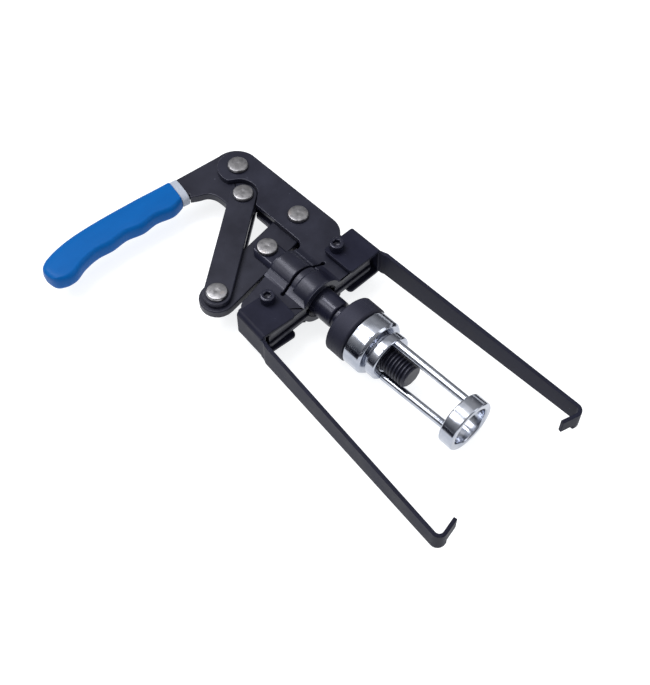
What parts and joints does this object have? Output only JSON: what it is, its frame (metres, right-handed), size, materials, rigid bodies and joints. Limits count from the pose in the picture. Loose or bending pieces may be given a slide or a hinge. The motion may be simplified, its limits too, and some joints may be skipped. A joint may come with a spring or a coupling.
{
  "type": "lever valve spring compressor",
  "caption": "Hand-held overhead valve spring compressor: hooked arms pull, a toggle handle pushes a screw-adjusted ring foot, and the over-centre linkage locks it closed.",
  "frame": {"origin": "centre of the underside of the tool's bounding box, with the tool lying flat on its rear body plate's side", "axes": "+X along the plunger towards the ring foot, +Y towards the handle pivot, +Z normal to the body plates"},
  "size_m": [0.331, 0.1782, 0.042],
  "materials": {
    "black_steel": "black oxide, satin with a light oil sheen",
    "rivet_steel": "bare domed rivet heads with heat stains",
    "zinc_plate": "bright zinc plating",
    "blue_vinyl": "dipped vinyl, soft gloss",
    "grey_band": "light grey dipped vinyl"
  },
  "bodies": {
    "frame": {"front_body_plate": "black_steel", "rear_body_plate": "black_steel", "flange_spacer_right": "black_steel", "flange_spacer_left": "black_steel", "handle_pivot_rivet": "rivet_steel", "crank_pivot_rivet": "rivet_steel", "arm_screw_right": "black_steel", "arm_screw_left": "black_steel", "arm_nut_right": "black_steel", "arm_nut_left": "black_steel"},
    "handle": {"handle_lever": "black_steel", "handle_grip": "blue_vinyl", "grip_band": "grey_band"},
    "link": {"front_link": "black_steel", "rear_link": "black_steel", "handle_link_rivet": "rivet_steel", "link_crank_rivet": "rivet_steel"},
    "crank": {"crank_lever": "black_steel"},
    "plunger": {"plunger": "black_steel", "plunger_rivet": "rivet_steel"},
    "carrier": {"thrust_washer": "zinc_plate"},
    "lock_nut": {"lock_nut": "black_steel"},
    "cage": {"cage_collar": "zinc_plate", "cage_rod_upper": "zinc_plate", "cage_rod_lower": "zinc_plate", "foot_ring": "zinc_plate"},
    "arm_right": {"arm_right": "black_steel"},
    "arm_left": {"arm_left": "black_steel"}
  },
  "joints": [
    {"name": "handle_swing", "type": "hinge", "parent": "frame", "child": "handle", "pos_m": [-0.13225, 0.06655, 0.021], "axis": [0, 0, -1], "range_deg": [0, 80]},
    {"name": "link_pivot", "type": "hinge", "parent": "handle", "child": "link", "pos_m": [-0.11025, 0.05195, 0.021], "axis": [0, 0, 1], "range_deg": [0, 93]},
    {"name": "crank_pivot", "type": "hinge", "parent": "frame", "child": "crank", "pos_m": [-0.06995, 0.06655, 0.021], "axis": [0, 0, -1], "range_deg": [0, 12]},
    {"name": "plunger_slide", "type": "slide", "parent": "frame", "child": "plunger", "axis": [-1, 0, 0], "range_m": [0, 0.0073]},
    {"name": "adjuster_slide", "type": "slide", "parent": "plunger", "child": "carrier", "axis": [1, 0, 0], "range_m": [0, 0.0176]},
    {"name": "cage_turn", "type": "hinge", "parent": "carrier", "child": "cage", "pos_m": [0.01395, 0.03205, 0.021], "axis": [1, 0, 0], "range_deg": [0, 2520]},
    {"name": "lock_nut_turn", "type": "hinge", "parent": "carrier", "child": "lock_nut", "pos_m": [0.01395, 0.03205, 0.021], "axis": [1, 0, 0], "range_deg": [0, 2521]},
    {"name": "arm_right_swing", "type": "hinge", "parent": "frame", "child": "arm_right", "pos_m": [-0.02855, 0.06315, 0.021], "axis": [0, 0, 1], "range_deg": [0, 10]},
    {"name": "arm_left_swing", "type": "hinge", "parent": "frame", "child": "arm_left", "pos_m": [-0.02855, 0.00095, 0.021], "axis": [0, 0, -1], "range_deg": [-4.7, 6]}
  ],
  "couplings": [
    {"joint": "link_pivot", "follows": "handle_swing", "ratio": 1.1573},
    {"joint": "crank_pivot", "follows": "handle_swing", "ratio": 0.1463},
    {"joint": "plunger_slide", "follows": "handle_swing", "m_per_rad": 0.0051091},
    {"joint": "adjuster_slide", "follows": "cage_turn", "m_per_rad": 0.00039789},
    {"joint": "lock_nut_turn", "follows": "cage_turn", "ratio": 1}
  ]
}
